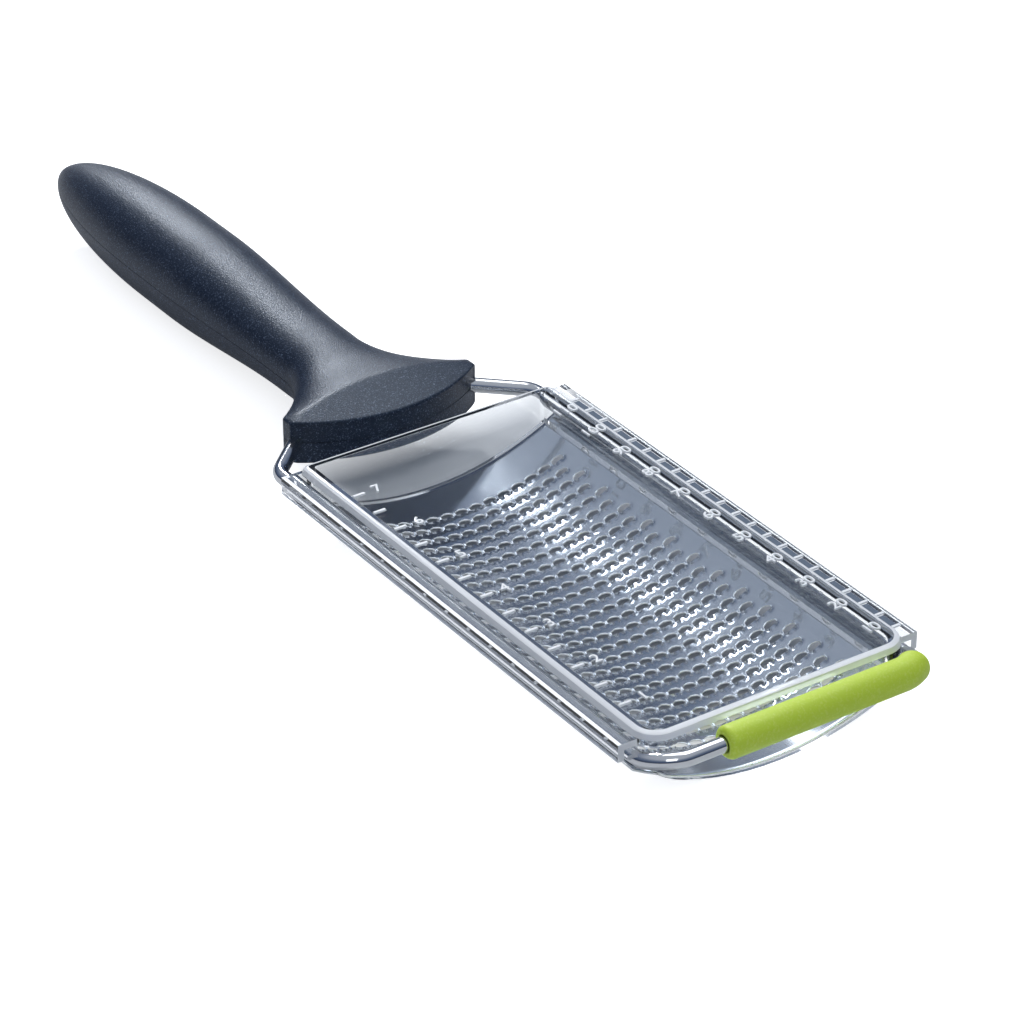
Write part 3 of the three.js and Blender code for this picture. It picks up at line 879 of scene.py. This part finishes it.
def makeFloor():
    bm = bmesh.new()
    bmesh.ops.create_grid(bm, x_segments=1, y_segments=1, size=view["floorSize"])
    mesh = bpy.data.meshes.new("floor")
    bm.to_mesh(mesh)
    bm.free()
    floor = bpy.data.objects.new("floor", mesh)
    bpy.context.scene.collection.objects.link(floor)
    floor.location.z = cadBox[0][2] - view["floorDrop"]
    material, nodes, links, shader = newMaterial("whitePaperFloorPaintedShadow")
    shader.inputs["Roughness"].default_value = 0.9
    shader.inputs["Specular IOR Level"].default_value = 0.1
    light = nodes.new("ShaderNodeLightPath")
    bare = nodes.new("ShaderNodeMath")
    bare.operation = "MULTIPLY_ADD"
    bare.inputs[1].default_value = view["floorBounce"]
    links.new(underPlateShadowMask(nodes, links, view["floorReach"]), bare.inputs[0])
    links.new(light.outputs["Is Camera Ray"], bare.inputs[2])
    # painted shadow: rays other than camera rays see the floor dark grey under the plate and mid-grey
    # elsewhere, camera rays see it white
    paperAndShadow = blendColours(nodes, links, bare.outputs["Value"], (0.34, 0.35, 0.37), (0.9, 0.9, 0.9))
    links.new(paperAndShadow, shader.inputs["Base Color"])
    mirrored = nodes.new("ShaderNodeMath")
    mirrored.operation = "MULTIPLY"
    mirrored.inputs[1].default_value = view["floorMirrored"]
    links.new(light.outputs["Is Glossy Ray"], mirrored.inputs[0])
    through = nodes.new("ShaderNodeMath")
    through.operation = "MULTIPLY_ADD"
    through.inputs[1].default_value = view["floorThrough"]
    links.new(light.outputs["Is Transmission Ray"], through.inputs[0])
    links.new(mirrored.outputs["Value"], through.inputs[2])
    # painted shadow: the floor's glow for transmission and glossy rays is taken away under the plate and
    # past its end by the heel
    veiled = nodes.new("ShaderNodeMath")
    veiled.operation = "MULTIPLY"
    links.new(through.outputs["Value"], veiled.inputs[0])
    links.new(underPlateShadowMask(nodes, links, view["heelReach"]), veiled.inputs[1])
    strength = nodes.new("ShaderNodeMath")
    strength.operation = "MULTIPLY_ADD"
    strength.inputs[1].default_value = view["floorGlow"]
    links.new(light.outputs["Is Camera Ray"], strength.inputs[0])
    links.new(veiled.outputs["Value"], strength.inputs[2])
    glow = nodes.new("ShaderNodeEmission")
    add = nodes.new("ShaderNodeAddShader")
    links.new(strength.outputs["Value"], glow.inputs["Strength"])
    links.new(shader.outputs["BSDF"], add.inputs[0])
    links.new(glow.outputs["Emission"], add.inputs[1])
    links.new(add.outputs["Shader"], nodes["Material Output"].inputs["Surface"])
    mesh.materials.append(material)


def makeLamp(name, place, aim, size, power):
    lamp = bpy.data.lights.new(name, "AREA")
    lamp.shape = "RECTANGLE"
    lamp.size, lamp.size_y = size
    lamp.energy = power
    holder = bpy.data.objects.new(name, lamp)
    bpy.context.scene.collection.objects.link(holder)
    holder.location = place
    holder.rotation_euler = (Vector(place) - Vector(aim)).to_track_quat("Z", "Y").to_euler()


def makeWorld():  # dim near the horizon, brighter overhead
    world = bpy.data.worlds.new("studio")
    bpy.context.scene.world = world
    world.use_nodes = True
    nodes, links = world.node_tree.nodes, world.node_tree.links
    coords = nodes.new("ShaderNodeTexCoord")
    parts = nodes.new("ShaderNodeSeparateXYZ")
    ramp = nodes.new("ShaderNodeValToRGB")
    stops = ramp.color_ramp.elements
    stops.remove(stops[1])
    for place, colour in view["sky"]:
        stop = stops[0] if place == view["sky"][0][0] else stops.new(place)
        stop.position = place
        stop.color = (*colour, 1)
    links.new(coords.outputs["Generated"], parts.inputs["Vector"])
    links.new(parts.outputs["Z"], ramp.inputs["Fac"])
    light = nodes.new("ShaderNodeLightPath")
    direct = nodes.new("ShaderNodeMath")  # seen through clear plastic and not in a reflection
    direct.operation = "SUBTRACT"
    direct.use_clamp = True
    links.new(light.outputs["Is Transmission Ray"], direct.inputs[0])
    links.new(light.outputs["Glossy Depth"], direct.inputs[1])
    seen = nodes.new("ShaderNodeMix")
    seen.data_type = "RGBA"
    seen.inputs["B"].default_value = (0.92, 0.94, 0.96, 1)
    links.new(direct.outputs["Value"], seen.inputs["Factor"])
    links.new(ramp.outputs["Color"], seen.inputs["A"])
    links.new(seen.outputs["Result"], nodes["Background"].inputs["Color"])


bpy.context.scene.view_settings.view_transform = "Standard"
makeCamera()
makeFloor()
makeWorld()
middle = (0.0, 0.0, 0.0)
makeLamp("keySoftbox", (0.48, 1.24, 0.89), middle, (0.16, 0.16), 12.0)
makeLamp("topSoftbox", (0.5, 0.28, 1.1), middle, (0.9, 0.8), 5.4)
makeLamp("frontSoftbox", (-0.55, -0.95, 0.85), middle, (0.6, 0.6), 2.2)
print("stage ready")
